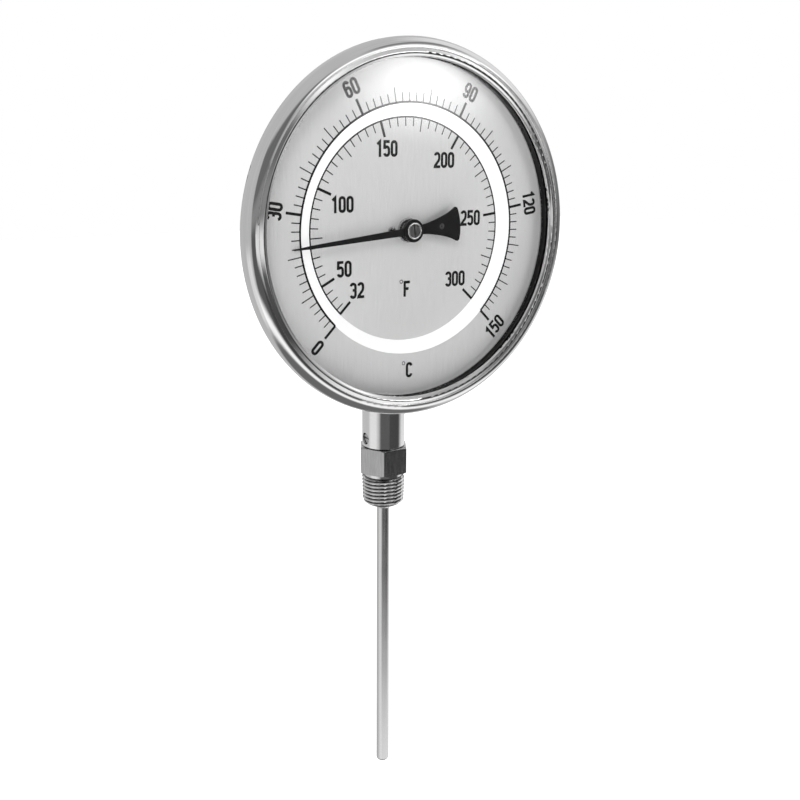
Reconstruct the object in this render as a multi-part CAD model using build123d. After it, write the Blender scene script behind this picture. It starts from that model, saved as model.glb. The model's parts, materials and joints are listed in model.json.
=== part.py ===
from build123d import *
import math
import os

# Bimetal dial thermometer with a bottom connection, in millimetres.
# +Z is up along the stem. The dial faces -Y and +X is to the right of a reader.
# The origin is on the stem axis, at the lower face of the hexagon, where the thread starts.

# ---- driving dimensions: where the dial is ----
dial_height = 120.0            # dial centre above the hexagon's lower face
dial_offset = 24.0             # Celsius ring of the dial in front of the stem axis

# ---- process connection: 7/8 inch hexagon, 1/2 inch 14 TPI taper thread ----
hexagon_flats = 22.2
hexagon_height = 12.9
hexagon_chamfer = 0.5
thread_pitch = 25.4 / 14
thread_turns = 8
thread_radius = 10.6           # crest radius at the big end
thread_taper = 1 / 32          # radius lost per unit of length
thread_depth = 1.25
thread_relief = 2.0            # plain neck between the hexagon and the first crest
thread_end_chamfer = 0.8
spigot_radius = 7.0
spigot_top = 30.0
lock_groove_depth = 0.9
lock_groove_clearance = 0.6
seal_section = 0.6             # section radius of the O-ring
seal_height = 24.9
seal_groove = 1.8              # width of the O-ring's groove

# ---- stem ----
stem_radius = 3.175            # 1/4 inch tube
stem_bore = 2.4
stem_length = 160.0            # below the hexagon's lower face
stem_socket = 10.0             # how far the tube runs up into the connection
stem_socket_radius = 2.8       # the tube is turned down where the weld and the connection hold it
weld_height = 2.4
tip_thickness = 1.6
tip_spigot = 3.5
tip_nose = 1.2                 # rounding of the stem's end
weld_leg = 1.3                 # weld's reach along the thread's end face

# ---- bimetal helix ----
helix_radius = 1.95
helix_pitch = 2.4
helix_turns = 18
strip_width = 1.5
strip_thickness = 0.25
helix_bottom = -152.0
helix_clearance = 0.6          # coil end to anchor, and coil end to hub
anchor_flange = 1.2
anchor_pin_radius = 1.6
helix_hub_radius = 2.2
helix_hub_length = 3.0

# ---- stem shaft and its bearings ----
shaft_radius = 0.8
running_gap = 0.05             # radial clearance of every running fit
shaft_top = 114.6
guide_heights = (-95.0, -50.0, -5.0)
guide_length = 4.0
guide_bore_radius = shaft_radius + running_gap
top_bush_radius = 2.2
top_bush_collar = 3.4
top_bush_collar_height = 0.8
shaft_collar_radius = 2.6
shaft_collar_height = 1.6
shaft_end_play = 0.05

# ---- neck ----
neck_radius = 10.4
neck_bottom = hexagon_height + 0.2
neck_top = 56.0
neck_upper_bore = 4.0
lock_screw_height = 17.6
lock_screw_radius = 2.0
lock_head_radius = 2.6
lock_recess_radius = 2.9
lock_recess_depth = 2.2
lock_tip_gap = 0.25
lock_screw_setback = 1.1       # screw face below the neck's surface
slot_width = 0.8

# ---- bezel and window, as radius and distance in front of the Celsius ring ----
bezel_radius = 84.0
bezel_wall = 1.2
bezel_front = 8.3
bezel_shoulder = 5.0           # outside radius of the front edge
bezel_inner_corner = 3.8
bezel_edge_rounding = 0.2
crease_radius = 78.8           # shoulder steps down to the lip here
crease_depth = 0.55
crease_slant = 0.1
crest_radius = 76.8            # lip rises to this crest, then falls to the window opening
crest_drop = 0.1               # crest lies this far behind the shoulder's front
crest_rounding = 1.5
lip_edge_drop = 0.9
lip_edge_rounding = 0.6
roll_tail = 1.5                # rolled edge runs on this far inward
roll_height = 1.5              # centre of the rolled edge in front of the Celsius ring
bezel_roll = 4.5               # outside radius of the edge rolled behind the case
window_opening = 75.2
window_back = 3.1
window_front = 5.5
window_radius = 79.2
gasket_inner = 76.7
gasket_radius = 80.9
gasket_corner = 2.2
lip_underside = 6.2
spacer_inner = 75.7
spacer_thickness = 0.8

# ---- case ----
flange_radius = 79.4
sheet = 1.0
shoulder_radius = 77.2
case_mouth_radius = 76.5
drum_radius = 67.0
drum_draft = 1.0               # drum is this much wider where it meets the shoulder
drum_start = 14.0              # drum begins this far behind the Celsius ring
case_depth = 41.0
back_corner = 7.0
back_step_radius = 46.0
back_step_depth = 1.0
flange_corner = 0.6
drum_corner = 4.0
shoulder_slip = 0.4            # how far an inside corner is shifted to keep the sheet's thickness

# ---- dial: a flat Celsius ring, a conical band and a recessed Fahrenheit disc ----
celsius_radius = 56.5
fahrenheit_radius = 50.5
dish_depth = 3.3
dial_thickness = 0.8
dial_screw_spacing = 17.6
dial_screw_radius = 1.9
dial_screw_shank = 1.0
dial_screw_head = 0.9
dial_screw_slot = 0.5

# ---- pointer ----
rest_reading = 22.0            # degrees Celsius shown by the part as modelled
degrees_per_celsius = 1.8
zero_angle = 225.0             # direction of 0 C, counter-clockwise from +X
pointer_level = 0.9            # back of the blade in front of the Celsius ring
pointer_thickness = 0.6
pointer_length = 60.2
pointer_root_width = 3.5
pointer_neck_radius = 52.0
pointer_neck_width = 1.5
pointer_tip_width = 0.5
tail_length = 26.0
tail_width = 17.4
tail_root_width = 3.6
tail_end_bow = 1.6             # how far the tail's end curves outward
tail_corner = 1.3
tail_dimple_radius = 1.4
tail_dimple_depth = 0.2
hub_radius = 5.2
hub_front = 2.0
hub_back = 0.2
ring_radius = 3.75
ring_back = -1.7
ring_front = 2.5
cap_radius = 2.95
cap_front = 2.1
cap_thickness = 1.0

# ---- spindle and movement frame ----
spindle_radius = 1.5
spindle_back = 13.6
clip_radius = 3.0
clip_groove_depth = 0.35
clip_groove_width = 0.6
clip_thickness = 0.5
clip_mouth = 2.0
clip_gap = 0.5                 # between the rear plate and the clip's groove
collar_radius = 5.6
collar_height = 1.2
bush_radius = 3.0
frame_width = 24.0
frame_plate = 2.0
rear_plate_start = 10.0
shelf_height = 103.0
shelf_thickness = 2.4
frame_top = 130.0
frame_screw_spacing = 13.0
frame_screw_radius = 1.25
frame_screw_head = 2.4
frame_screw_head_height = 1.6
frame_screw_slot = 0.6
frame_screw_reach = 5.5        # how far the screw goes into the neck
bush_reveal = 1.0              # how far a spindle bush stands out of its plate

# ---- bevel gears: a pair of equal gears, meeting at the dial's centre height ----
gear_teeth = 24
gear_radius = 8.0              # pitch radius at the big end
gear_face = 0.70               # small end is this fraction of the big end
tooth_share = 0.36             # tooth thickness as a share of the tooth pitch
addendum = 0.55
dedendum = 0.85
gear_hub_radius = 4.5
gear_hub_length = 3.0
tooth_root_share = 1.35        # tooth half-width at the root against the pitch line
tooth_tip_share = 0.55
tooth_rooting = 0.15           # how far a tooth is sunk into the gear's body

dial_frame = Plane(origin=(0, -dial_offset, dial_height), x_dir=(1, 0, 0), z_dir=(0, -1, 0)).location
dial_back = -dish_depth - dial_thickness
front_plate_y = -dial_offset - dial_back
rest_angle = zero_angle - degrees_per_celsius * rest_reading
clip_start = rear_plate_start + frame_plate + clip_gap


def turned(corners, radii=0):
    """A solid of revolution about Z. Corners are (radius, height); radii round them off."""
    outline = FilletPolyline(*corners, radius=radii, close=True)
    return revolve(Plane.XZ * make_face(outline), Axis.Z)


def tube(outer, inner, bottom, top):
    """A plain tube about Z. An inner radius of zero gives a rod."""
    return turned([(inner, bottom), (outer, bottom), (outer, top), (inner, top)])


def rod(radius, bottom, top):
    return Pos(0, 0, bottom) * Cylinder(radius, top - bottom, align=(Align.CENTER, Align.CENTER, Align.MIN))


def block(low, high):
    """A box between two opposite corners."""
    size = [h - l for l, h in zip(low, high)]
    return Pos(*low) * Box(*size, align=(Align.MIN, Align.MIN, Align.MIN))


def along_y(solid, x, z):
    """Lays a solid that was made about Z along Y, its +Z pointing to +Y."""
    return Pos(x, 0, z) * Rot(-90, 0, 0) * solid


# ---------------------------------------------------------------- stem and connection


def thread_corners():
    """Saw-tooth outline of the tapered thread, from the relief down to the end chamfer."""
    corners = []
    for turn in range(thread_turns):
        top = -thread_relief - turn * thread_pitch
        crest = thread_radius + thread_taper * (top - thread_pitch / 2)
        root = thread_radius - thread_depth + thread_taper * top
        corners.append((root, top))
        corners.append((crest, top - 0.42 * thread_pitch))
        corners.append((crest, top - 0.58 * thread_pitch))
    end = -thread_relief - thread_turns * thread_pitch
    root = thread_radius - thread_depth + thread_taper * end
    corners.append((root, end))
    corners.append((root - thread_end_chamfer, end - thread_end_chamfer / 2))
    return corners


def make_process_connection():
    """Hexagon, taper thread and the spigot that carries the neck, bored for the stem."""
    relief_radius = thread_radius - thread_depth
    hexagon = extrude(RegularPolygon(hexagon_flats / 2, 6, major_radius=False, rotation=0), hexagon_height)
    corner = hexagon_flats / 2 / math.cos(math.pi / 6)
    edge = corner - hexagon_chamfer
    rise = hexagon_chamfer / 2
    trim = [(0, 0), (edge, 0), (corner, rise), (corner, hexagon_height - rise), (edge, hexagon_height),
            (0, hexagon_height)]
    hexagon = hexagon & turned(trim)
    outline = thread_corners()
    thread_end = outline[-1][1]
    thread = turned([(0, 1), (relief_radius, 1), *outline, (0, thread_end)])
    lock_low = lock_screw_height - lock_screw_radius - lock_groove_clearance
    lock_high = lock_screw_height + lock_screw_radius + lock_groove_clearance
    lock_floor = spigot_radius - lock_groove_depth
    seal_low = seal_height - seal_groove / 2
    seal_high = seal_height + seal_groove / 2
    seal_floor = spigot_radius - 2 * seal_section
    spigot = turned([
        (0, hexagon_height - 1), (spigot_radius, hexagon_height - 1),
        (spigot_radius, lock_low), (lock_floor, lock_low),
        (lock_floor, lock_high), (spigot_radius, lock_high),
        (spigot_radius, seal_low), (seal_floor, seal_low),
        (seal_floor, seal_high), (spigot_radius, seal_high),
        (spigot_radius, spigot_top), (0, spigot_top),
    ])
    body = hexagon + thread + spigot
    body = body - rod(stem_socket_radius, thread_end - 1, stem_socket)
    return body - rod(stem_bore, stem_socket - 1, spigot_top + 1)


def thread_end_height():
    return thread_corners()[-1][1]


def make_stem_weld():
    """Small fillet weld between the thread's end face and the stem."""
    top = thread_end_height()
    waist = (stem_radius + 0.35 * weld_leg, top - 0.38 * weld_height)
    foot = top - weld_height
    return turned([(stem_socket_radius, top), (stem_radius + weld_leg, top), waist, (stem_radius, foot),
                   (stem_socket_radius, foot)])


def make_stem_tube():
    """Thin tube, plain below the weld."""
    low = -stem_length + tip_thickness
    shoulder = thread_end_height() - weld_height
    return turned([(stem_bore, low), (stem_radius, low), (stem_radius, shoulder),
                   (stem_socket_radius, shoulder), (stem_socket_radius, stem_socket), (stem_bore, stem_socket)])


def make_stem_tip():
    """Welded end plug with a rounded nose."""
    low = -stem_length
    high = low + tip_thickness
    corners = [(0, low), (stem_radius, low), (stem_radius, high), (stem_bore, high),
               (stem_bore, high + tip_spigot), (0, high + tip_spigot)]
    return turned(corners, [0, tip_nose, 0, 0, 0, 0])


def make_bimetal_helix():
    """Flat bimetal strip wound edge-on into a long coil inside the stem."""
    path = Helix(helix_pitch, helix_pitch * helix_turns, helix_radius)
    section = Plane(path @ 0, x_dir=(1, 0, 0), z_dir=path % 0) * Rectangle(strip_thickness, strip_width)
    return Pos(0, 0, helix_bottom) * sweep(section, path, is_frenet=True)


def make_helix_anchor():
    """Slug fixed in the tip, holding the coil's lower end."""
    low = -stem_length + tip_thickness + tip_spigot
    top = helix_bottom - strip_width / 2
    return turned([(0, low), (stem_bore, low), (stem_bore, low + anchor_flange),
                   (anchor_pin_radius, low + anchor_flange), (anchor_pin_radius, top), (0, top)])


def make_shaft_guides():
    """Guide bushes that keep the long shaft in the middle of the stem."""
    guide = tube(stem_bore, guide_bore_radius, 0, guide_length)
    guides = [Pos(0, 0, height) * guide for height in guide_heights]
    guides.append(Pos(0, 0, spigot_top - guide_length) * guide)
    return Compound(children=guides)


# ---------------------------------------------------------------- neck


def make_neck_sleeve():
    """Neck that turns on the spigot, with a recessed hole for the lock screw on its left."""
    edge = 0.4
    bore_end = spigot_top + 0.6
    corners = [
        (spigot_radius + running_gap, neck_bottom), (neck_radius - edge, neck_bottom),
        (neck_radius, neck_bottom + edge), (neck_radius, neck_top), (neck_upper_bore, neck_top),
        (neck_upper_bore, bore_end), (spigot_radius + running_gap, bore_end),
    ]
    sleeve = turned(corners)
    recess = Cylinder(lock_recess_radius, lock_recess_depth * 2)
    hole = Cylinder(lock_screw_radius, 8)
    to_left = Pos(-neck_radius, 0, lock_screw_height) * Rot(0, 90, 0)
    sleeve = sleeve - to_left * recess - to_left * hole
    for side in (-1, 1):
        tapped = rod(frame_screw_radius, neck_top - frame_screw_reach - 0.5, neck_top + 1)
        sleeve = sleeve - Pos(side * frame_screw_spacing / 2, 0, 0) * tapped
    return sleeve


def make_lock_screw():
    """Slotted lock screw: its tip runs in the spigot's groove."""
    head_back = neck_radius - lock_recess_depth
    head_front = neck_radius - lock_screw_setback
    tip = spigot_radius - lock_groove_depth + lock_tip_gap
    point = 0.4
    corners = [(0, tip), (lock_screw_radius - point, tip), (lock_screw_radius, tip + point),
               (lock_screw_radius, head_back), (lock_head_radius, head_back),
               (lock_head_radius, head_front), (0, head_front)]
    screw = turned(corners, [0, 0, 0, 0, 0, 0.3, 0])
    slot = Pos(0, 0, head_front) * Box(slot_width, 3 * lock_head_radius, 1.2)
    return Pos(0, 0, lock_screw_height) * Rot(0, -90, 0) * (screw - slot)


def make_neck_seal():
    """O-ring in the spigot's upper groove."""
    return Pos(0, 0, seal_height) * Torus(spigot_radius - seal_section, seal_section)


# ---------------------------------------------------------------- case, bezel and window


def make_case_body():
    """Drawn case: flange, sloping shoulder and drum, with a stepped back and a hole for the neck."""
    front = -dial_thickness
    back = -case_depth
    step_inside = back_step_radius - shoulder_slip
    outside = [
        (flange_radius, front), (flange_radius, front - sheet), (shoulder_radius, front - sheet),
        (drum_radius + drum_draft, -drum_start), (drum_radius, back),
        (back_step_radius + back_step_depth, back), (back_step_radius, back + back_step_depth),
        (0, back + back_step_depth),
    ]
    inside = [
        (0, back + back_step_depth + sheet), (step_inside, back + back_step_depth + sheet),
        (step_inside + back_step_depth, back + sheet), (drum_radius - sheet, back + sheet),
        (drum_radius + drum_draft - sheet, -drum_start + shoulder_slip), (case_mouth_radius, front),
    ]
    radii = [0, 0, flange_corner, drum_corner, back_corner, 0, 0, 0, 0, 0, 0,
             back_corner - sheet, drum_corner - sheet, 0]
    case = dial_frame * turned(outside + inside, radii)
    return case - rod(neck_radius, dial_height - drum_radius - 10, dial_height - drum_radius + 15)


def make_bezel_ring():
    """Polished bezel: rounded shoulder, creased lip over the window, back edge rolled behind the case."""
    roll_inner = bezel_roll - bezel_wall
    roll_centre = bezel_radius - bezel_roll
    roll_back = roll_height - bezel_roll
    inner_wall = bezel_radius - bezel_wall
    roll_end = roll_centre - roll_tail
    corners = [
        (roll_end, roll_back), (bezel_radius, roll_back), (bezel_radius, bezel_front),
        (crease_radius + crease_slant, bezel_front), (crease_radius, bezel_front - crease_depth),
        (crest_radius, bezel_front - crest_drop), (window_opening, bezel_front - lip_edge_drop),
        (window_opening, lip_underside), (inner_wall, lip_underside),
        (inner_wall, roll_back + bezel_wall), (roll_end, roll_back + bezel_wall),
    ]
    radii = [0, bezel_roll, bezel_shoulder, bezel_edge_rounding, crease_slant, crest_rounding,
             lip_edge_rounding, bezel_edge_rounding, bezel_inner_corner, roll_inner, 0]
    return dial_frame * turned(corners, radii)


def make_window_glass():
    return dial_frame * rod(window_radius, window_back, window_front)


def make_window_gasket():
    """Black channel gasket round the window's edge."""
    corners = [
        (gasket_inner, spacer_thickness), (gasket_radius, spacer_thickness), (gasket_radius, lip_underside),
        (gasket_inner, lip_underside), (gasket_inner, window_front), (window_radius, window_front),
        (window_radius, window_back), (gasket_inner, window_back),
    ]
    return dial_frame * turned(corners, [0, 0, gasket_corner, 0, 0, 0, 0, 0])


def make_spacer_ring():
    """Thin ring that holds the dial down on the case flange."""
    return dial_frame * tube(flange_radius, spacer_inner, 0, spacer_thickness)


# ---------------------------------------------------------------- dial


def make_dial_plate():
    """Dished dial. Its inner disc lies deeper, so the pointer is level with the outer scale."""
    corners = [
        (bush_radius, dial_back), (fahrenheit_radius - 0.3, dial_back),
        (celsius_radius - 0.3, -dial_thickness),
        (flange_radius, -dial_thickness), (flange_radius, 0), (celsius_radius, 0),
        (fahrenheit_radius, -dish_depth), (bush_radius, -dish_depth),
    ]
    plate = turned(corners)
    for side in (-1, 1):
        hole = rod(dial_screw_shank, dial_back - 1, 1)
        plate = plate - Pos(side * dial_screw_spacing / 2, 0, 0) * hole
    return dial_frame * plate


def make_dial_screws():
    """Two slotted pan-head screws that fix the dial to the movement frame."""
    top = -dish_depth + dial_screw_head
    head = turned([(0, -dish_depth), (dial_screw_radius, -dish_depth), (dial_screw_radius, top), (0, top)],
                  [0, 0, 0.4, 0])
    shank = rod(dial_screw_shank, dial_back - frame_plate, -dish_depth)
    slot = Pos(0, 0, top) * Box(3 * dial_screw_radius, dial_screw_slot, dial_screw_head)
    screw = head + shank - slot
    places = (-dial_screw_spacing / 2, dial_screw_spacing / 2)
    return Compound(children=[dial_frame * Pos(x, 0, 0) * screw for x in places])


# ---------------------------------------------------------------- pointer


def pointer_outline():
    """Half-outline points of the tapered blade, from the hub to the tip."""
    return [(0, pointer_root_width / 2), (pointer_neck_radius, pointer_neck_width / 2),
            (pointer_length, pointer_tip_width / 2)]


def make_pointer():
    """Black pointer: blade, raised hub and flared counterweight tail, cut from sheet."""
    upper = pointer_outline()
    lower = [(x, -y) for x, y in reversed(upper)]
    blade = make_face(Polyline(*upper, *lower, close=True))
    half_root = tail_root_width / 2
    half_end = tail_width / 2
    bend_x = -0.55 * tail_length
    flare = 0.26 * half_end
    corner = (-tail_length + tail_end_bow, half_end)
    top_edge = Spline((0, half_root), (bend_x, half_root + flare), corner,
                      tangents=[(-1, 0.02), (-1, 0.85)])
    end_edge = ThreePointArc(corner, (-tail_length, 0), (corner[0], -half_end))
    low_edge = Spline((corner[0], -half_end), (bend_x, -half_root - flare), (0, -half_root),
                      tangents=[(1, 0.85), (1, 0.02)])
    root_edge = Line((0, -half_root), (0, half_root))
    tail = make_face(top_edge + end_edge + low_edge + root_edge)
    tips = tail.vertices().sort_by(Axis.X)[0:2]
    tail = fillet(tips, tail_corner)
    sheet_part = extrude(blade + tail, pointer_thickness)
    sheet_part = Rot(0, 0, rest_angle) * Pos(0, 0, pointer_level) * sheet_part
    dimple = Rot(0, 0, rest_angle) * Pos(-0.6 * tail_length, 0, pointer_level + pointer_thickness)
    sheet_part = sheet_part - dimple * Cylinder(tail_dimple_radius, 2 * tail_dimple_depth)
    hub = turned([(ring_radius, hub_back), (hub_radius, hub_back), (hub_radius, hub_front),
                  (ring_radius, hub_front)], [0, 0, 0.35, 0])
    body = sheet_part - rod(ring_radius, hub_back - 1, hub_front + 1)
    return dial_frame * (body + hub)


def make_pointer_ring():
    """Bright ring bush pressed into the pointer's hub, with a slotted cap seat."""
    back_edge = 0.6
    front_edge = 0.25
    seat = cap_front - cap_thickness
    corners = [(spindle_radius, ring_back), (ring_radius - back_edge, ring_back),
               (ring_radius, ring_back + back_edge), (ring_radius, ring_front),
               (cap_radius + front_edge, ring_front), (cap_radius, ring_front - front_edge),
               (cap_radius, seat), (spindle_radius, seat)]
    return dial_frame * turned(corners, [0, 0, 0, front_edge, 0, 0, 0, 0])


def make_pointer_cap():
    """Slotted cap screw that clamps the pointer on the spindle."""
    seat = cap_front - cap_thickness
    cap = turned([(0, seat), (cap_radius, seat), (cap_radius, cap_front), (0, cap_front)], [0, 0, 0.3, 0])
    slot = Pos(0, 0, cap_front) * Box(slot_width, 3 * cap_radius, cap_thickness)
    return dial_frame * Rot(0, 0, rest_angle - 180) * (cap - slot)


# ---------------------------------------------------------------- movement


def spindle_rod(radius, front, back):
    """A rod along the spindle axis between two Y positions."""
    return along_y(rod(radius, front, back), 0, dial_height)


def make_pointer_spindle():
    front = -dial_offset - cap_front + cap_thickness
    spindle = spindle_rod(spindle_radius, front, spindle_back)
    groove_floor = spindle_radius - clip_groove_depth
    groove = tube(spindle_radius + 1, groove_floor, clip_start, clip_start + clip_groove_width)
    return spindle - along_y(groove, 0, dial_height)


def make_spindle_clip():
    """Open retaining clip in the spindle's rear groove."""
    start = clip_start + (clip_groove_width - clip_thickness) / 2
    clip = tube(clip_radius, spindle_radius - clip_groove_depth, start, start + clip_thickness)
    gap = block((-clip_mouth / 2, 0, start - 1), (clip_mouth / 2, clip_radius + 1, start + 1))
    return along_y(clip - gap, 0, dial_height)


def make_spindle_front_bush():
    """Flanged bush: its bright collar shows round the pointer's hub."""
    bore = spindle_radius + running_gap
    dial_front = -dish_depth
    back = dial_back - frame_plate - bush_reveal
    corners = [(bore, back), (bush_radius, back), (bush_radius, dial_front), (collar_radius, dial_front),
               (collar_radius, dial_front + collar_height), (bore, dial_front + collar_height)]
    return dial_frame * turned(corners, [0, 0, 0, 0, 0.5, 0])


def make_spindle_rear_bush():
    bore = spindle_radius + running_gap
    bush = tube(bush_radius, bore, rear_plate_start - bush_reveal, rear_plate_start + frame_plate)
    return along_y(bush, 0, dial_height)


def make_shaft_top_bush():
    low = shelf_height - bush_reveal
    shelf_top = shelf_height + shelf_thickness
    top = shelf_top + top_bush_collar_height
    return turned([(guide_bore_radius, low), (top_bush_radius, low), (top_bush_radius, shelf_top),
                   (top_bush_collar, shelf_top), (top_bush_collar, top), (guide_bore_radius, top)])


def make_movement_frame():
    """Frame on top of the neck: base, front and rear plates and a shelf for the shaft's top bush."""
    half = frame_width / 2
    back = rear_plate_start + frame_plate
    base = block((-half, front_plate_y, neck_top), (half, back, neck_top + frame_plate))
    front = block((-half, front_plate_y, neck_top), (half, front_plate_y + frame_plate, frame_top))
    rear = block((-half, rear_plate_start, neck_top), (half, back, frame_top))
    shelf = block((-half, front_plate_y, shelf_height), (half, back, shelf_height + shelf_thickness))
    frame = base + front + rear + shelf
    frame = frame - spindle_rod(bush_radius, front_plate_y - 1, back + 1)
    frame = frame - rod(top_bush_radius, shelf_height - 1, shelf_height + shelf_thickness + 1)
    frame = frame - rod(neck_upper_bore, neck_top - 1, neck_top + frame_plate + 1)
    screw_hole = rod(frame_screw_radius, neck_top - 1, neck_top + frame_plate + 1)
    dial_hole = rod(dial_screw_shank, front_plate_y - 1, front_plate_y + frame_plate + 1)
    for side in (-1, 1):
        frame = frame - Pos(side * frame_screw_spacing / 2, 0, 0) * screw_hole
        frame = frame - along_y(dial_hole, side * dial_screw_spacing / 2, dial_height)
    return frame


def make_frame_screws():
    """Two screws that hold the movement frame on the neck."""
    under = neck_top + frame_plate
    top = under + frame_screw_head_height
    screw = rod(frame_screw_radius, neck_top - frame_screw_reach, under) + rod(frame_screw_head, under, top)
    screw = screw - Pos(0, 0, top) * Box(3 * frame_screw_head, frame_screw_slot, frame_screw_head_height)
    places = (-frame_screw_spacing / 2, frame_screw_spacing / 2)
    return Compound(children=[Pos(x, 0, 0) * screw for x in places])


def bevel_gear(bore):
    """A 45 degree bevel gear below its apex, which is at the origin. Its axis is Z."""
    half_tooth = tooth_share * math.pi / gear_teeth
    lean = math.sqrt(0.5)

    def ring_point(height, angle):
        """Point on the big end at a height above the pitch cone and an angle about the axis."""
        radius = gear_radius + height * lean
        level = -gear_radius + height * lean
        return Vector(radius * math.cos(angle), radius * math.sin(angle), level)

    def tooth_face(scale):
        root_half = half_tooth * tooth_root_share
        tip_half = half_tooth * tooth_tip_share
        sunk = -dedendum - tooth_rooting
        points = [ring_point(sunk, -root_half), ring_point(addendum, -tip_half),
                  ring_point(addendum, tip_half), ring_point(sunk, root_half)]
        return make_face(Polyline(*[point * scale for point in points], close=True))

    tooth = loft([tooth_face(1.0), tooth_face(gear_face)])
    root = ring_point(-dedendum, 0)
    corners = [(bore, root.Z * gear_face), (root.X * gear_face, root.Z * gear_face), (root.X, root.Z),
               (gear_hub_radius, root.Z), (gear_hub_radius, root.Z - gear_hub_length),
               (bore, root.Z - gear_hub_length)]
    gear = turned(corners)
    for number in range(gear_teeth):
        gear = gear + Rot(0, 0, number * 360 / gear_teeth) * tooth
    return gear


def make_shaft_gear():
    """Lower gear on the stem shaft, turned by half a tooth to mesh with the spindle gear."""
    return Pos(0, 0, dial_height) * Rot(0, 0, 90 + 180 / gear_teeth) * bevel_gear(shaft_radius)


def make_spindle_gear():
    """Gear on the pointer spindle, between the front plate and the apex."""
    return Pos(0, 0, dial_height) * Rot(-90, 0, 0) * Rot(0, 0, 90) * bevel_gear(spindle_radius)


def make_stem_shaft():
    return rod(shaft_radius, helix_top() + helix_clearance, shaft_top)


def helix_top():
    return helix_bottom + helix_pitch * helix_turns + strip_width


def make_helix_hub():
    """Hub on the shaft's lower end, which the coil's upper end drives."""
    low = helix_top() + helix_clearance
    return tube(helix_hub_radius, shaft_radius, low, low + helix_hub_length)


def make_shaft_collar():
    """Collar that rests the shaft on its top bush."""
    seat = shelf_height + shelf_thickness + top_bush_collar_height + shaft_end_play
    return tube(shaft_collar_radius, shaft_radius, seat, seat + shaft_collar_height)


parts = {
    "process_connection": make_process_connection,
    "stem_weld": make_stem_weld,
    "stem_tube": make_stem_tube,
    "stem_tip": make_stem_tip,
    "bimetal_helix": make_bimetal_helix,
    "helix_anchor": make_helix_anchor,
    "shaft_guides": make_shaft_guides,
    "neck_sleeve": make_neck_sleeve,
    "lock_screw": make_lock_screw,
    "neck_seal": make_neck_seal,
    "case_body": make_case_body,
    "bezel_ring": make_bezel_ring,
    "window_glass": make_window_glass,
    "window_gasket": make_window_gasket,
    "spacer_ring": make_spacer_ring,
    "dial_plate": make_dial_plate,
    "dial_screws": make_dial_screws,
    "movement_frame": make_movement_frame,
    "frame_screws": make_frame_screws,
    "spindle_front_bush": make_spindle_front_bush,
    "spindle_rear_bush": make_spindle_rear_bush,
    "shaft_top_bush": make_shaft_top_bush,
    "stem_shaft": make_stem_shaft,
    "shaft_gear": make_shaft_gear,
    "shaft_collar": make_shaft_collar,
    "helix_hub": make_helix_hub,
    "pointer": make_pointer,
    "pointer_ring": make_pointer_ring,
    "pointer_cap": make_pointer_cap,
    "pointer_spindle": make_pointer_spindle,
    "spindle_gear": make_spindle_gear,
    "spindle_clip": make_spindle_clip,
}

os.makedirs("parts", exist_ok=True)
for name, make in parts.items():
    export_step(make(), f"parts/{name}.step")
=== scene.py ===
import bmesh
import bpy
import json
import math
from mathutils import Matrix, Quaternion, Vector


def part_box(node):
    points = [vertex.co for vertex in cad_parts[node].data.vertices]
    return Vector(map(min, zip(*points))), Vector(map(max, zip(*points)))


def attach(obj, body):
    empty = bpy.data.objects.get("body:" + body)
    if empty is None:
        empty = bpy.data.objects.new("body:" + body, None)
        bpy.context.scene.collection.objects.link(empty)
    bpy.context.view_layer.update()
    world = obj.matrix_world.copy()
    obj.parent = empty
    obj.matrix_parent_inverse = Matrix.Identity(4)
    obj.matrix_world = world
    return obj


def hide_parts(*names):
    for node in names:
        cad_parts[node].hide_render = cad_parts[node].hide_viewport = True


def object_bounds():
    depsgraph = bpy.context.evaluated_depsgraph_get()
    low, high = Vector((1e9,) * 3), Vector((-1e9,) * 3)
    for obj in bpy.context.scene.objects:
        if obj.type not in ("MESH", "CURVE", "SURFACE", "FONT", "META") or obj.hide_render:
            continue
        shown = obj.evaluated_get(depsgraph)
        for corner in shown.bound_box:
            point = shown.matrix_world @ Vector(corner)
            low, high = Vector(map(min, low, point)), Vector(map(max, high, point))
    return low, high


# Looks of the dial thermometer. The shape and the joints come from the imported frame.
# Lengths named here are in millimetres and are turned into metres where a mesh is made.

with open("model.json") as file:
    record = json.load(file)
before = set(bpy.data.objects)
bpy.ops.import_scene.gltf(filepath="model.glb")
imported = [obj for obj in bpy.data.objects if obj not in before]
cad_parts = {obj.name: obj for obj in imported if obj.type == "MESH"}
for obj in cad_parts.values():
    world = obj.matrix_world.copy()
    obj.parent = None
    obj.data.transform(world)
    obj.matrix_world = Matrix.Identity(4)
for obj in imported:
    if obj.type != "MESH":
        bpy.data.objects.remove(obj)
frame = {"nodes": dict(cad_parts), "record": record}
cad_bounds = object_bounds()

MM = 0.001

# ---- places taken from the frame ----
bezel_low, bezel_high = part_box("bezel_ring")
dial_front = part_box("dial_plate")[0][1]
connection_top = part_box("process_connection")[1][2]
lowest = cad_bounds[0][2]
dial_centre = Vector(((bezel_low[0] + bezel_high[0]) / 2, dial_front, (bezel_low[2] + bezel_high[2]) / 2))

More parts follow.
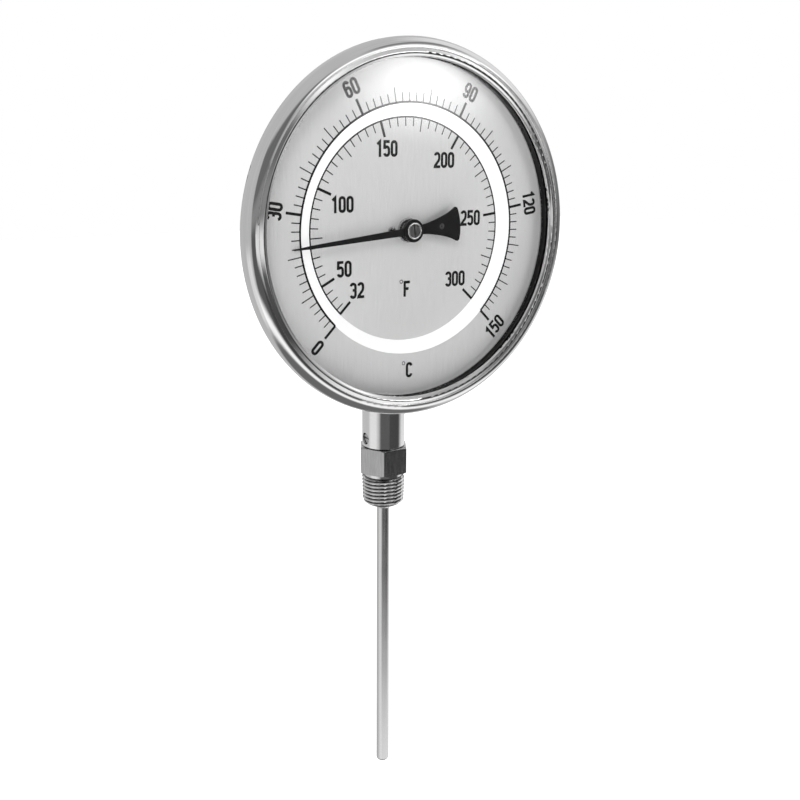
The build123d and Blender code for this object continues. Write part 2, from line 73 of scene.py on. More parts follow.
# ---- dial print ----
celsius_radius = 56.5
fahrenheit_radius = 50.5
fahrenheit_level = -3.3
print_thickness = 0.03
overlap_step = 0.002           # keeps strokes that cross from sharing one top face
zero_angle = 225.0             # direction of the first mark, in degrees from the right
arc_step = 1.5                 # degrees between points of a scale's arc
arc_inset = 0.2                # of the Fahrenheit arc from the edge of its disc
rest_reading = 22.0            # degrees Celsius shown at rest
celsius_step = 1.8             # degrees of arc per degree Celsius
fahrenheit_step = 1.0          # degrees of arc per degree Fahrenheit
celsius_last = 150
fahrenheit_first = 32
fahrenheit_last = 300
arc_width = 0.9
fine_width = 0.5
heavy_width = 1.2
celsius_lengths = (4.2, 6.6, 7.3)       # every 2, every 10 and every 30 degrees
fahrenheit_lengths = (4.3, 6.4, 7.4)    # every 5, every 25 and every 50 degrees
numeral_height = 7.3
numeral_stroke = 1.28
numeral_pitch = 3.9
numeral_half = 0.205 * numeral_height - numeral_stroke / 4
celsius_numeral_radius = 69.0
last_upright_angle = -20       # numerals beyond this angle are turned over to stay readable
# value, distance from the centre and lead over its mark in degrees, for each Fahrenheit numeral
fahrenheit_numerals = ((32, 37.2, -1.4), (50, 36.9, -1.8), (100, 36.4, 3.0), (150, 38.1, 0.7),
                       (200, 36.8, 1.0), (250, 35.4, 0.0), (300, 36.0, 1.2))
# name, letter, place across, place up and level of each unit
units = (("unit_celsius", "C", -1.0, -64.3, 0), ("unit_fahrenheit", "F", -0.4, -26.8, fahrenheit_level))
degree_shift = (-3.1, 3.4)
degree_radius = 0.75
degree_stroke = 0.32
band_inset = 0.1
band_foot_inner = 0.06         # height of the white band's foot over the Fahrenheit disc
band_foot_outer = -0.055       # and over the Celsius ring
band_lift = (-0.0145, 0.0263)  # thickness of the band, at right angles to its cone

# ---- pointer details ----
dimple_reach = 15.6
dimple_level = 1.32
# thickness of the lighter paint on the dimple's rim, which is a painted highlight
dimple_sheen_paint = 0.1
dimple_radii = (0.35, 1.25, 1.38)       # inner edge, top of the rim and foot of the rim
bead_radius = 3.35
bead_section = 0.42
bead_level = 2.35

# ---- connection: hexagon, thread and spigot ----
hexagon_flats = 22.2
hexagon_height = 12.9
hexagon_chamfer = 0.8
thread_pitch = 25.4 / 14
thread_turns = 8
thread_radius = 10.6
thread_taper = 1 / 32
thread_depth = 1.25
thread_relief = 2.0
thread_end = -thread_relief - thread_turns * thread_pitch
thread_root = thread_radius - thread_depth
root_flat = 0.08               # share of the pitch left flat at the root
flank_share = 0.76
top_chamfer = 1.6              # radius gained per millimetre of height at the thread's start
end_chamfer = 1.1              # and at its end
end_step = 0.4
end_face_inset = 1.6
spigot_radius = 7.0
stem_bore = 2.4
stem_socket = 10.0
stem_socket_radius = 2.8


# ---------------------------------------------------------------- meshes


def at_dial(x, y, level):
    """Point of the dial, right, up and in front of the Celsius ring, in metres."""
    return dial_centre + Vector((x, -level, y)) * MM


def make_piece(name, points, faces, material, body, sharp_degrees=30):
    """A closed mesh that rides on a body."""
    mesh = bpy.data.meshes.new(name)
    mesh.from_pydata([tuple(point) for point in points], [], faces)
    shape = bmesh.new()
    shape.from_mesh(mesh)
    bmesh.ops.recalc_face_normals(shape, faces=shape.faces)
    shape.to_mesh(mesh)
    shape.free()
    for face in mesh.polygons:
        face.use_smooth = True
    mesh.set_sharp_from_angle(angle=math.radians(sharp_degrees))
    mesh.materials.append(material)
    piece = bpy.data.objects.new(name, mesh)
    bpy.context.scene.collection.objects.link(piece)
    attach(piece, body)
    return piece


def ring_grid(rows, columns):
    """Faces of a closed surface made of rings, each ring joined to the next and the last to the first."""
    faces = []
    for row in range(rows):
        for column in range(columns):
            here = row * columns + column
            beside = row * columns + (column + 1) % columns
            above = ((row + 1) % rows) * columns
            faces.append((here, beside, above + (column + 1) % columns, above + column))
    return faces


def dial_lathe(name, profile, material, segments=240):
    """A ring turned about the dial's axis. The profile lists (radius, level) and closes on itself."""
    points = []
    for radius, level in profile:
        for step in range(segments):
            angle = 2 * math.pi * step / segments
            points.append(at_dial(radius * math.cos(angle), radius * math.sin(angle), level))
    make_piece(name, points, ring_grid(len(profile), segments), material, "head")


# ---------------------------------------------------------------- strokes and figures


def arc_points(x, y, radius_x, radius_y, start, end, steps=10):
    """Points on an ellipse from one angle to another, in degrees."""
    angles = [math.radians(start + (end - start) * step / steps) for step in range(steps + 1)]
    return [(x + radius_x * math.cos(angle), y + radius_y * math.sin(angle)) for angle in angles]


def stroke_edges(points, width, closed):
    """Left and right edge of a stroke of even width, mitred at its corners."""
    edges = []
    count = len(points)
    for index, point in enumerate(points):
        before = points[index - 1] if index > 0 or closed else None
        after = points[(index + 1) % count] if index < count - 1 or closed else None
        directions = []
        if before is not None:
            directions.append((Vector(point) - Vector(before)).normalized())
        if after is not None:
            directions.append((Vector(after) - Vector(point)).normalized())
        normals = [Vector((-direction.y, direction.x)) for direction in directions]
        middle = sum(normals, Vector((0, 0))).normalized()
        reach = width / 2 / max(middle.dot(normals[0]), 0.45)
        edges.append((Vector(point) + middle * reach, Vector(point) - middle * reach))
    return edges


def print_strokes(name, strokes, level, material):
    """A piece of dial print: each stroke is (points, width, closed) and becomes a thin closed prism."""
    points = []
    faces = []
    for order, (line, width, closed) in enumerate(strokes):
        edges = stroke_edges(line, width, closed)
        top = level + print_thickness + overlap_step * (order % 3)
        first = len(points)
        for left, right in edges:
            for edge, height in ((left, level), (right, level), (right, top), (left, top)):
                points.append(at_dial(edge.x, edge.y, height))
        spans = len(edges) if closed else len(edges) - 1
        for span in range(spans):
            here = first + 4 * span
            there = first + 4 * ((span + 1) % len(edges))
            for side in range(4):
                beside = (side + 1) % 4
                faces.append((here + side, here + beside, there + beside, there + side))
        if not closed:
            last = first + 4 * (len(edges) - 1)
            faces.append((first, first + 1, first + 2, first + 3))
            faces.append((last, last + 1, last + 2, last + 3))
    make_piece(name, points, faces, material, "head")


def figure_strokes(character):
    """Centre lines of a narrow figure as (points, closed). Its box is 2 * half wide and tall high."""
    tall = numeral_height - numeral_stroke
    half = numeral_half
    wide = 2 * half
    foot = -numeral_stroke / 2
    top_arc = (half, tall - half, half, half)
    low_arc = (half, half, half, half)
    if character == "0":
        return [(arc_points(*top_arc, 0, 180) + arc_points(*low_arc, 180, 360), True)]
    if character == "1":
        return [([(0.1 * wide, 0.80 * tall), (0.68 * wide, tall), (0.68 * wide, foot)], False)]
    if character == "2":
        hook = arc_points(*top_arc, 170, 0) + [(0.99 * wide, 0.60 * tall), (0.88 * wide, 0.47 * tall)]
        return [(hook + [(0.05 * wide, 0.08 * tall), (0, 0), (wide + numeral_stroke / 2, 0)], False)]
    if character == "3":
        waist = 0.53 * tall
        bend = 0.55 * half
        upper = arc_points(*top_arc, 170, 0) + arc_points(wide - bend, waist + bend, bend, bend, 0, -90)
        lower = arc_points(wide - bend, waist - bend, bend, bend, 90, 0) + arc_points(*low_arc, 0, -170)
        return [(upper + [(0.4 * wide, waist)], False), ([(0.4 * wide, waist)] + lower, False)]
    if character == "5":
        belly = arc_points(half, 0.62 * tall - half, half, half, 140, 0) + arc_points(*low_arc, 0, -170)
        flag = [(wide + 0.3 * numeral_stroke, tall), (0.06 * wide, tall), (0.02 * wide, 0.47 * tall)]
        return [(flag, False), (belly, False)]
    if character in "69":
        loop = arc_points(half, 0.60 * tall - half, half, half, 0, 180)
        line = arc_points(*top_arc, 10, 180) + arc_points(*low_arc, 180, 360) + loop
        if character == "9":
            line = [(wide - x, tall - y) for x, y in line]
        return [(line, False)]
    if character == "C":
        return [(arc_points(*top_arc, 0, 180) + arc_points(*low_arc, 180, 360), False)]
    if character == "F":
        return [([(0, foot), (0, tall), (wide + 0.4 * numeral_stroke, tall)], False),
                ([(0, 0.5 * tall), (0.9 * wide, 0.5 * tall)], False)]
    raise ValueError(character)


def text_strokes(text, x, y, turn):
    """Strokes of a row of figures centred on (x, y) and turned by an angle in degrees."""
    turn = math.radians(turn)
    strokes = []
    for index, character in enumerate(text):
        shift = (index - (len(text) - 1) / 2) * numeral_pitch - numeral_half
        for line, closed in figure_strokes(character):
            placed = []
            for across, up in line:
                local_x = across + shift
                local_y = up - (numeral_height - numeral_stroke) / 2
                placed.append((x + local_x * math.cos(turn) - local_y * math.sin(turn),
                               y + local_x * math.sin(turn) + local_y * math.cos(turn)))
            strokes.append((placed, numeral_stroke, closed))
    return strokes


def polar(radius, degrees):
    """Point at a distance and a direction from the dial's centre."""
    return (radius * math.cos(math.radians(degrees)), radius * math.sin(math.radians(degrees)))


def tick_strokes(values, step, first, start_radius, outward, lengths, rounds):
    """Graduation marks. rounds are the two intervals at which marks get longer and heavier."""
    strokes = []
    for value in values:
        angle = zero_angle - step * (value - first)
        length, width = lengths[0], fine_width
        if value % rounds[0] == 0:
            length = lengths[1]
        if value % rounds[1] == 0 or value == first:
            length, width = lengths[2], heavy_width
        mark = [polar(start_radius, angle), polar(start_radius + outward * length, angle)]
        strokes.append((mark, width, False))
    return strokes


def scale_arc(radius, sweep):
    """Points along a scale's arc, clockwise from its first mark."""
    return [polar(radius, zero_angle - arc_step * step) for step in range(math.ceil(sweep / arc_step) + 1)]


def make_dial_print(black, white):
    """Both scales with their numerals and units, and the white cone between them."""
    celsius_arc = scale_arc(celsius_radius, celsius_last * celsius_step)
    fahrenheit_sweep = (fahrenheit_last - fahrenheit_first) * fahrenheit_step
    fahrenheit_arc = scale_arc(fahrenheit_radius - arc_inset, fahrenheit_sweep)
    print_strokes("celsius_arc", [(celsius_arc, arc_width, False)], 0, black)
    print_strokes("fahrenheit_arc", [(fahrenheit_arc, arc_width, False)], fahrenheit_level, black)
    marks = range(0, celsius_last + 1, 2)
    celsius_ticks = tick_strokes(marks, celsius_step, 0, celsius_radius, 1, celsius_lengths, (10, 30))
    print_strokes("celsius_ticks", celsius_ticks, 0, black)
    marks = [fahrenheit_first] + list(range(35, fahrenheit_last + 1, 5))
    fahrenheit_ticks = tick_strokes(marks, fahrenheit_step, fahrenheit_first, fahrenheit_radius, -1,
                                    fahrenheit_lengths, (25, 50))
    print_strokes("fahrenheit_ticks", fahrenheit_ticks, fahrenheit_level, black)
    for value in range(0, celsius_last + 1, 30):
        angle = zero_angle - celsius_step * value
        turn = angle - 90 if angle > last_upright_angle else angle + 90
        strokes = text_strokes(str(value), *polar(celsius_numeral_radius, angle), turn)
        print_strokes(f"celsius_{value}", strokes, 0, black)
    for value, radius, lead in fahrenheit_numerals:
        angle = zero_angle - fahrenheit_step * (value - fahrenheit_first) + lead
        strokes = text_strokes(str(value), *polar(radius, angle), 0)
        print_strokes(f"fahrenheit_{value}", strokes, fahrenheit_level, black)
    for name, letter, x, y, level in units:
        ring = arc_points(x + degree_shift[0], y + degree_shift[1], degree_radius, degree_radius, 0, 345, 23)
        strokes = text_strokes(letter, x, y, 0) + [(ring, degree_stroke, True)]
        print_strokes(name, strokes, level, black)
    inner = (fahrenheit_radius + band_inset, fahrenheit_level + band_foot_inner)
    outer = (celsius_radius - band_inset, band_foot_outer)
    raised = [(radius + band_lift[0], level + band_lift[1]) for radius, level in (outer, inner)]
    dial_lathe("white_band", [inner, outer] + raised, white)


# ---------------------------------------------------------------- connection with a real helix


def hexagon_edge(angle):
    """Distance from the axis to the hexagon's outline. Its corners lie on the X axis."""
    within = math.degrees(angle) % 60 - 30
    return hexagon_flats / 2 / math.cos(math.radians(within))


def thread_edge(angle, height):
    """Radius of the tapered right-hand thread, cut away by a chamfer at both ends."""
    start = -thread_relief
    turn = (height - start) / thread_pitch - angle / (2 * math.pi) + 0.5
    flank = 1 - abs(2 * (turn % 1.0) - 1)
    crest = min(max((flank - root_flat) / flank_share, 0.0), 1.0)
    root = thread_root + thread_taper * height
    cut_top = root + top_chamfer * (start - height)
    cut_bottom = root - end_step + end_chamfer * (height - thread_end)
    return min(root + thread_depth * crest, max(cut_top, root), max(cut_bottom, root - end_step))


def make_process_connection(steel, hexagon_steel):
    """Hexagon with turned chamfers, helical thread, spigot and bore as one closed surface."""
    columns = 240
    top = connection_top / MM
    corner = hexagon_flats / 2 / math.cos(math.pi / 6)
    bevel = hexagon_chamfer / 2
    rows = [(lambda a: stem_bore, top), (lambda a: spigot_radius, top),
            (lambda a: spigot_radius, hexagon_height)]
    steps = 6
    for step in range(steps + 1):
        limit = corner - hexagon_chamfer * (1 - step / steps)
        height = hexagon_height - bevel * step / steps
        rows.append((lambda a, limit=limit: min(hexagon_edge(a), limit), height))
    for step in range(steps + 1):
        limit = corner - hexagon_chamfer * step / steps
        height = bevel - bevel * step / steps
        rows.append((lambda a, limit=limit: min(hexagon_edge(a), limit), height))
    rows.append((lambda a: thread_root, 0.0))
    rows.append((lambda a: thread_root, -thread_relief))
    fine_rows = 12 * thread_turns
    for step in range(1, fine_rows + 1):
        height = -thread_relief + (thread_end + thread_relief) * step / fine_rows
        rows.append((lambda a, height=height: thread_edge(a, height), height))
    rows.append((lambda a: thread_root - end_face_inset, thread_end - end_step))
    rows.append((lambda a: stem_socket_radius, thread_end - end_step))
    rows.append((lambda a: stem_socket_radius, stem_socket))
    rows.append((lambda a: stem_bore, stem_socket))
    points = []
    for edge, height in rows:
        for column in range(columns):
            angle = 2 * math.pi * column / columns
            radius = edge(angle)
            points.append(Vector((radius * math.cos(angle), radius * math.sin(angle), height)) * MM)
    faces = ring_grid(len(rows), columns)
    piece = make_piece("threaded_connection", points, faces, steel, "stem", 25)
    piece.data.materials.append(hexagon_steel)
    margin = 0.01
    inside_hexagon = spigot_radius + 2.5
    for face in piece.data.polygons:
        height = face.center.z / MM
        if -margin < height < hexagon_height + margin and face.center.xy.length / MM > inside_hexagon:
            face.material_index = 1
    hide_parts("process_connection")


def needle_lathe(name, centre, profile, material, columns=64):
    """A ring of (radius, level) points about a point of the dial, riding on the pointer."""
    points = []
    for radius, level in profile:
        for column in range(columns):
            x, y = polar(radius, 360 * column / columns)
            points.append(at_dial(centre[0] + x, centre[1] + y, level))
    make_piece(name, points, ring_grid(len(profile), columns), material, "needle")


def make_hub_details(paint, steel):
    """Bright bead on the hub's ring bush, and the rim of the dimple in the tail, painted lighter than the
    black pointer as a painted highlight.
    """
    bead = [(bead_radius + bead_section * math.cos(math.radians(angle)),
             bead_level + bead_section * math.sin(math.radians(angle))) for angle in range(0, 360, 30)]
    needle_lathe("ring_bead", (0, 0), bead, steel, 96)
    dimple = polar(-dimple_reach, zero_angle - celsius_step * rest_reading)
    edge, shoulder, foot = dimple_radii
    rim_level = dimple_level + dimple_sheen_paint
    rim = ((edge, dimple_level), (edge, rim_level), (shoulder, rim_level), (foot, dimple_level))
    needle_lathe("balance_dimple_sheen_rim", dimple, rim, paint, 32)


# ---------------------------------------------------------------- materials

metal_relief = 0.0001          # depth of tool marks in metres
degrees_per_radian = 57.2958


def new_tree(name):
    """A new material with its shader, as (material, node tree, shader)."""
    material = bpy.data.materials.new(name)
    material.use_nodes = True
    tree = material.node_tree
    return material, tree, tree.nodes["Principled BSDF"]


def math_node(tree, operation, first, second=0.0, third=0.0):
    """Output of a Math node. Each input is a number or another node's output."""
    node = tree.nodes.new("ShaderNodeMath")
    node.operation = operation
    for socket, value in zip(node.inputs, (first, second, third)):
        if isinstance(value, (int, float)):
            socket.default_value = value
        else:
            tree.links.new(value, socket)
    return node.outputs[0]


def object_point(tree):
    """Coordinates that stay with the object."""
    return tree.nodes.new("ShaderNodeTexCoord").outputs["Object"]


def stretched(tree, scale):
    """Object coordinates multiplied by a scale for each axis."""
    mapping = tree.nodes.new("ShaderNodeMapping")
    mapping.inputs["Scale"].default_value = scale
    tree.links.new(object_point(tree), mapping.inputs["Vector"])
    return mapping.outputs[0]


def turned(tree, axis, centre, scale, around=2.0):
    """Coordinates (distance from an axis, place along it, a little of the angle), for lathe marks."""
    offset = tree.nodes.new("ShaderNodeVectorMath")
    offset.operation = "SUBTRACT"
    offset.inputs[1].default_value = centre
    tree.links.new(object_point(tree), offset.inputs[0])
    split = tree.nodes.new("ShaderNodeSeparateXYZ")
    tree.links.new(offset.outputs[0], split.inputs[0])
    x, y, z = split.outputs
    side, length = (y, z) if axis == "Z" else (z, y)
    radius = math_node(tree, "SQRT", math_node(tree, "ADD", math_node(tree, "MULTIPLY", x, x),
                                               math_node(tree, "MULTIPLY", side, side)))
    angle = math_node(tree, "ARCTAN2", side, x)
    join = tree.nodes.new("ShaderNodeCombineXYZ")
    tree.links.new(math_node(tree, "MULTIPLY", radius, scale), join.inputs[0])
    tree.links.new(math_node(tree, "MULTIPLY", length, scale), join.inputs[1])
    tree.links.new(math_node(tree, "MULTIPLY", angle, around), join.inputs[2])
    return join.outputs[0]


def noise(tree, vector, scale=1.0, detail=3.0):
    """Noise between 0 and 1 at a vector."""
    node = tree.nodes.new("ShaderNodeTexNoise")
    node.inputs["Scale"].default_value = scale
    node.inputs["Detail"].default_value = detail
    tree.links.new(vector, node.inputs["Vector"])
    return node.outputs[0]


def spread(tree, value, low, high, start=0.3, end=0.7):
    """Maps a noise value to a range."""
    node = tree.nodes.new("ShaderNodeMapRange")
    for name, number in (("From Min", start), ("From Max", end), ("To Min", low), ("To Max", high)):
        node.inputs[name].default_value = number
    tree.links.new(value, node.inputs["Value"])
    return node.outputs[0]


def blend(tree, first, share, second):
    """A share of one value and the rest of another."""
    return math_node(tree, "ADD", math_node(tree, "MULTIPLY", first, share),
                     math_node(tree, "MULTIPLY", second, 1 - share))


def two_tones(tree, value, dark, light):
    """Colour between two tones, from a value between 0 and 1."""
    ramp = tree.nodes.new("ShaderNodeValToRGB")
    ramp.color_ramp.elements[0].color = (*dark, 1)
    ramp.color_ramp.elements[1].color = (*light, 1)
    tree.links.new(value, ramp.inputs[0])
    return ramp.outputs[0]


def add_bump(tree, shader, height, strength, distance=0.00005):
    """Fine relief on a shader. The distance is in metres."""
    bump = tree.nodes.new("ShaderNodeBump")
    bump.inputs["Strength"].default_value = strength
    bump.inputs["Distance"].default_value = distance
    tree.links.new(height, bump.inputs["Height"])
    tree.links.new(bump.outputs[0], shader.inputs["Normal"])


def grey(value):
    """Neutral colour of one brightness."""
    return (value, value, value)


def make_steel(name, marks, tone=0.72, shine=(0.10, 0.18), bump=0.05, clouds=0.04):
    """Steel with fine tool marks. marks gives the coordinates of those marks for a node tree."""
    material, tree, shader = new_tree(name)
    fine = noise(tree, marks(tree), 1.0, 2.0)
    broad = noise(tree, object_point(tree), 45.0, 4.0)
    tint = blend(tree, fine, 0.6, broad)
    tone_range = two_tones(tree, spread(tree, tint, 0, 1), grey(tone - clouds), grey(tone + clouds))
    tree.links.new(tone_range, shader.inputs["Base Color"])
    tree.links.new(spread(tree, tint, *shine), shader.inputs["Roughness"])
    shader.inputs["Metallic"].default_value = 1.0
    add_bump(tree, shader, fine, bump, metal_relief)
    return material


def make_thread_steel():
    """Machined steel with painted shade: its colour darkens towards the roots of the thread."""
    material = make_steel("machined_steel_painted_root_shade", about_stem(2800), 0.74, (0.07, 0.13), 0.04)
    tree = material.node_tree
    shader = tree.nodes["Principled BSDF"]
    tone = shader.inputs["Base Color"].links[0].from_socket
    split = tree.nodes.new("ShaderNodeSeparateXYZ")
    tree.links.new(object_point(tree), split.inputs[0])
    x, y, z = split.outputs
    square = math_node(tree, "MULTIPLY_ADD", x, x, math_node(tree, "MULTIPLY", y, y))
    radius = math_node(tree, "POWER", square, 0.5)
    crest = math_node(tree, "MULTIPLY_ADD", z, thread_taper, thread_radius * MM)
    depth = math_node(tree, "DIVIDE", math_node(tree, "SUBTRACT", crest, radius), thread_depth * MM)
    above = math_node(tree, "GREATER_THAN", z, -thread_relief * MM)
    # Painted shade: the colour darkens with groove depth, to 0.22 at the roots, and is left unshaded above
    # the relief.
    shade = math_node(tree, "MAXIMUM", spread(tree, depth, 1.0, 0.22, 0.3, 0.85), above)
    root_shade_paint = tree.nodes.new("ShaderNodeVectorMath")
    root_shade_paint.operation = "SCALE"
    tree.links.new(tone, root_shade_paint.inputs[0])
    tree.links.new(shade, root_shade_paint.inputs["Scale"])
    tree.links.new(root_shade_paint.outputs[0], shader.inputs["Base Color"])
    return material


def about_dial(scale):
    """Lathe marks about the dial's axis."""
    return lambda tree: turned(tree, "Y", dial_centre, scale)


def about_stem(scale):
    """Lathe marks about the stem's axis."""
    return lambda tree: turned(tree, "Z", (0, 0, 0), scale)


def lines_along_z(across, along):
    """Straight upright marks."""
    return lambda tree: stretched(tree, (across, across, along))


def make_dial_metal():
    """Satin dial sheet with fine upright brushing."""
    material, tree, shader = new_tree("dial_metal")
    brush = noise(tree, stretched(tree, (5200, 400, 130)), 1.0, 3.0)
    broad = noise(tree, object_point(tree), 18.0, 2.0)
    mixed = blend(tree, brush, 0.75, broad)
    tone = two_tones(tree, spread(tree, mixed, 0, 1), grey(0.78), grey(0.90))
    tree.links.new(tone, shader.inputs["Base Color"])
    tree.links.new(spread(tree, mixed, 0.36, 0.46), shader.inputs["Roughness"])
    shader.inputs["Metallic"].default_value = 0.22
    add_bump(tree, shader, brush, 0.12)
    return material


def make_paint(name, dark, light, roughness, scale=900.0, bump=0.08, gloss=0.25):
    """Thin paint or ink with a faint grain."""
    material, tree, shader = new_tree(name)
    grain = noise(tree, object_point(tree), scale, 3.0)
    tree.links.new(two_tones(tree, spread(tree, grain, 0, 1), dark, light), shader.inputs["Base Color"])
    tree.links.new(spread(tree, grain, *roughness), shader.inputs["Roughness"])
    shader.inputs["Specular IOR Level"].default_value = gloss
    add_bump(tree, shader, grain, bump)
    return material


def make_brass():
    """Turned brass of the hidden gears and bushes."""
    material, tree, shader = new_tree("brass_turned")
    marks = noise(tree, about_stem(3500)(tree), 1.0, 2.0)
    tree.links.new(two_tones(tree, spread(tree, marks, 0, 1), (0.62, 0.43, 0.17), (0.76, 0.56, 0.26)),
                   shader.inputs["Base Color"])
    tree.links.new(spread(tree, marks, 0.18, 0.32), shader.inputs["Roughness"])
    shader.inputs["Metallic"].default_value = 1.0
    add_bump(tree, shader, marks, 0.06, metal_relief)
    return material


def make_window():
    """Flat clear glass: it lets light straight through and reflects more at a grazing angle."""
    material, tree, shader = new_tree("window_clear")
    tree.nodes.remove(shader)
    output = tree.nodes["Material Output"]
    clear = tree.nodes.new("ShaderNodeBsdfTransparent")
    clear.inputs["Color"].default_value = (0.975, 0.975, 0.975, 1)
    gloss = tree.nodes.new("ShaderNodeBsdfGlossy")
    wipe = noise(tree, object_point(tree), 30.0, 4.0)
    tree.links.new(spread(tree, wipe, 0.0, 0.03), gloss.inputs["Roughness"])
    facing = tree.nodes.new("ShaderNodeLayerWeight").outputs["Facing"]
    amount = math_node(tree, "MULTIPLY_ADD", math_node(tree, "POWER", facing, 5.0), 0.9, 0.045)
    mix = tree.nodes.new("ShaderNodeMixShader")
    tree.links.new(amount, mix.inputs[0])
    tree.links.new(clear.outputs[0], mix.inputs[1])
    tree.links.new(gloss.outputs[0], mix.inputs[2])
    tree.links.new(mix.outputs[0], output.inputs["Surface"])
    return material


def make_finishes():
    """One material for each of the record's slots."""
    return {
        "stainless_polished": make_steel("polished_steel", about_dial(2600), 0.72, (0.05, 0.09), 0.008),
        "stainless_satin": make_steel("satin_steel", about_stem(2200), 0.62, (0.20, 0.30), 0.10),
        "stainless_drawn": make_steel("drawn_steel", lines_along_z(2500, 40), 0.66, (0.14, 0.24), 0.08),
        "frame_steel": make_steel("milled_steel", lines_along_z(1200, 1200), 0.52, (0.28, 0.42), 0.12),
        "bimetal_strip": make_steel("bimetal_steel", lines_along_z(900, 2500), 0.42, (0.35, 0.5), 0.1),
        "zinc_screw": make_steel("screw_steel", lines_along_z(900, 900), 0.50, (0.22, 0.32), 0.02),
        "dial_print": make_dial_metal(),
        "pointer_black": make_paint("pointer_paint", grey(0.003), grey(0.007), (0.38, 0.5)),
        "window": make_window(),
        "gasket_rubber": make_paint("gasket_rubber", grey(0.006), grey(0.014), (0.5, 0.65), 700.0, 0.2),
        "seal_rubber": make_paint("seal_rubber", grey(0.010), grey(0.020), (0.45, 0.6), 700.0, 0.2),
        "brass_turned": make_brass(),
    }


def finish_cad_nodes(finishes):
    """Gives every CAD node the finish of its slot, or its own."""
    own = {
        "neck_sleeve": make_steel("neck_steel", about_stem(2600), 0.78, (0.08, 0.14), 0.03),
        "pointer_cap": make_steel("cap_steel", lines_along_z(700, 120), 0.24, (0.30, 0.38), 0.01, 0.08),
    }
    for subpart in frame["record"]["subparts"]:
        mesh = frame["nodes"][subpart["node"]].data
        mesh.materials.clear()
        mesh.materials.append(own.get(subpart["node"], finishes[subpart["material_slot"]]))


# ---------------------------------------------------------------- studio


def soft_window(tree, azimuth, elevation, left, right, low, high, soft_side, soft_rise):
    """1 inside a patch of the surroundings and 0 outside, with soft edges. Angles are in degrees."""
    def step(value, edge, softness, rising):
        node = tree.nodes.new("ShaderNodeMapRange")
        node.interpolation_type = "SMOOTHSTEP"
        node.inputs["From Min"].default_value = edge - softness
        node.inputs["From Max"].default_value = edge + softness
        node.inputs["To Min"].default_value = 0.0 if rising else 1.0
        node.inputs["To Max"].default_value = 1.0 if rising else 0.0
        tree.links.new(value, node.inputs["Value"])
        return node.outputs[0]

    def band(value, start, end, softness):
        rise = step(value, start, softness, True)
        return math_node(tree, "MULTIPLY", rise, step(value, end, softness, False))

    across = band(azimuth, left, right, soft_side)
    return math_node(tree, "MULTIPLY", across, band(elevation, low, high, soft_rise))


def make_surroundings():
    """White room with soft boxes and dark flags, as directions seen from the object.

    Azimuth is 0 in front of the dial and grows to the reader's right. Elevation is 0 at eye level.
    """
    world = bpy.data.worlds.new("studio")
    bpy.context.scene.world = world
    world.use_nodes = True
    tree = world.node_tree
    background = tree.nodes["Background"]
    split = tree.nodes.new("ShaderNodeSeparateXYZ")
    tree.links.new(tree.nodes.new("ShaderNodeTexCoord").outputs["Generated"], split.inputs[0])
    x, y, z = split.outputs
    azimuth = math_node(tree, "MULTIPLY", math_node(tree, "ARCTAN2", x, math_node(tree, "MULTIPLY", y, -1.0)),
                        degrees_per_radian)
    elevation = math_node(tree, "MULTIPLY", math_node(tree, "ARCSINE", z), degrees_per_radian)
    light = 0.62
    # change in brightness, left, right, low, high, softness sideways, softness upward
    patches = (
        (10.0, 31.5, 37, 1.9, 6, 3.5, 2.4),
        (0.9, 10, 60, 15, 24, 6, 3),
        (-0.30, 25, 62, 7, 12, 6, 2),
        (0.35, 60, 120, 12, 60, 10, 10),
        (-0.50, -51, 66, -30, 1, 8, 7),
        (-0.05, 2, 58, -29, 0, 5, 5),
        (0.90, -12, 22, -10, -3, 4, 2.5),
        (-0.35, 25, 62, 31, 44, 6, 3),
        (-0.44, -54, 12, 4, 34, 6, 6),
        (0.32, -112, -66, -45, -11, 9, 6),
        (0.32, 78, 150, -32, -10, 8, 4),
        (-0.42, 66, 176, -13, 14, 8, 6),
        (0.65, -70, 90, -48, -31, 8, 7),
        (-0.44, -400, 400, -110, -52, 1, 6),
    )
    for amount, left, right, low, high, soft_side, soft_rise in patches:
        patch = soft_window(tree, azimuth, elevation, left, right, low, high, soft_side, soft_rise)
        light = math_node(tree, "MULTIPLY_ADD", patch, amount, light)
    seen = tree.nodes.new("ShaderNodeLightPath").outputs["Is Camera Ray"]
    mix = tree.nodes.new("ShaderNodeMix")
    tree.links.new(seen, mix.inputs[0])
    tree.links.new(light, mix.inputs[2])
    mix.inputs[3].default_value = 1.0
    tree.links.new(mix.outputs[0], background.inputs["Color"])


def make_area_light(name, place, aim, size, power):
    """Round soft light that polished metal does not mirror."""
    data = bpy.data.lights.new(name, "AREA")
    data.shape = "DISK"
    data.size = size
    data.energy = power
    light = bpy.data.objects.new(name, data)
    light.location = place
    light.rotation_euler = (Vector(aim) - Vector(place)).to_track_quat("-Z", "Y").to_euler()
    light.visible_glossy = False
    bpy.context.scene.collection.objects.link(light)


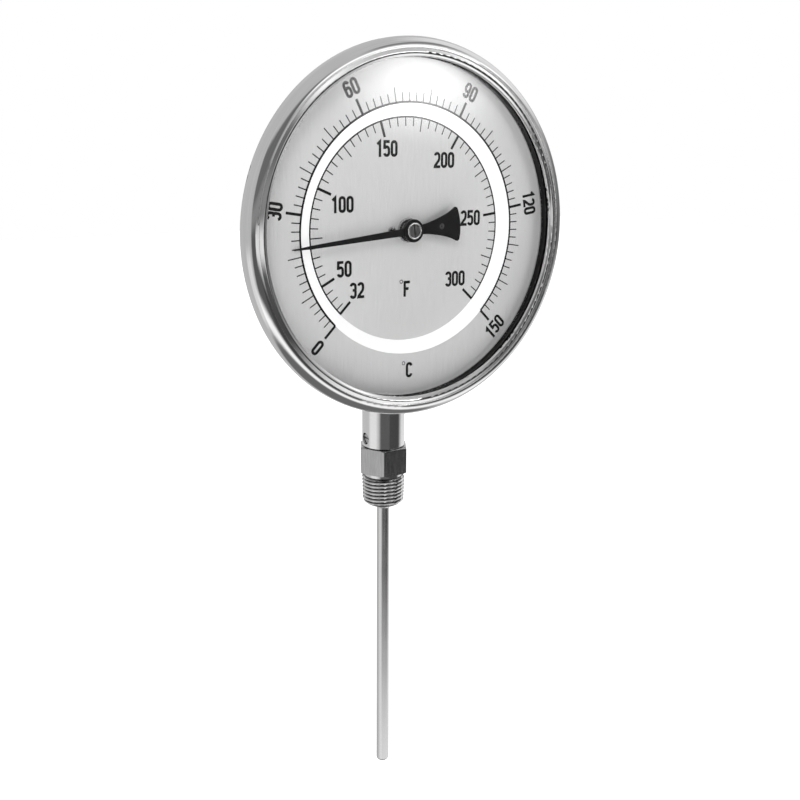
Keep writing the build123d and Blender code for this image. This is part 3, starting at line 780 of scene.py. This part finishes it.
def make_floor():
    """Plain pale floor below the stem."""
    drop = 0.10
    half = 4.0
    height = lowest - drop
    mesh = bpy.data.meshes.new("floor")
    corners = [(-half, -half, height), (half, -half, height), (half, half, height), (-half, half, height)]
    mesh.from_pydata(corners, [], [(0, 1, 2, 3)])
    floor = bpy.data.objects.new("floor", mesh)
    bpy.context.scene.collection.objects.link(floor)
    material, tree, shader = new_tree("floor_paper")
    paper = noise(tree, object_point(tree), 60.0, 3.0)
    tree.links.new(two_tones(tree, paper, grey(0.88), grey(0.92)), shader.inputs["Base Color"])
    shader.inputs["Roughness"].default_value = 0.9
    shader.inputs["Emission Color"].default_value = (1, 1, 1, 1)
    shader.inputs["Emission Strength"].default_value = 0.7
    mesh.materials.append(material)
    floor.visible_glossy = False


def make_camera():
    """Camera to the left of the dial and a little above it."""
    data = bpy.data.cameras.new("camera")
    data.lens = 43.814
    data.sensor_width = 36.0
    data.shift_y = -0.07
    data.clip_start = 0.01
    camera = bpy.data.objects.new("camera", data)
    camera.location = (-0.2440, -0.3912, 0.1584)
    aim = Vector((-0.0756, -0.1313, 0.0947))
    roll = math.radians(0.356)
    facing = (aim - camera.location).to_track_quat("-Z", "Y") @ Quaternion((0, 0, 1), roll)
    camera.rotation_euler = facing.to_euler()
    bpy.context.scene.collection.objects.link(camera)
    bpy.context.scene.camera = camera
    bpy.context.scene.view_settings.view_transform = "Standard"


# ---------------------------------------------------------------- build

finishes = make_finishes()
finish_cad_nodes(finishes)
# The white band's paint also glows (emission 0.34): painted light that keeps it near white.
band_white_painted_glow = make_paint("band_white_painted_glow", grey(0.93), grey(0.97), (0.5, 0.6))
band_shader = band_white_painted_glow.node_tree.nodes["Principled BSDF"]
band_shader.inputs["Emission Color"].default_value = (1, 1, 1, 1)
band_shader.inputs["Emission Strength"].default_value = 0.34
make_dial_print(make_paint("print_ink", grey(0.004), grey(0.008), (0.5, 0.65)), band_white_painted_glow)
make_process_connection(make_thread_steel(),
                        make_steel("hexagon_steel", lines_along_z(1600, 160), 0.40, (0.17, 0.26), 0.12, 0.06))
# The dimple rim's grey paint is a painted highlight on the black pointer.
make_hub_details(make_paint("dimple_sheen_paint", grey(0.05), grey(0.09), (0.3, 0.5)),
                 make_steel("bead_steel", about_dial(2600), 0.95, (0.06, 0.10), 0.005, 0.02))
make_surroundings()
make_area_light("fill_light", (-0.7, -0.9, 0.9), dial_centre, 0.6, 6.0)
make_area_light("low_light", (0.15, -0.9, -0.4), dial_centre, 0.35, 6.5)
make_floor()
make_camera()
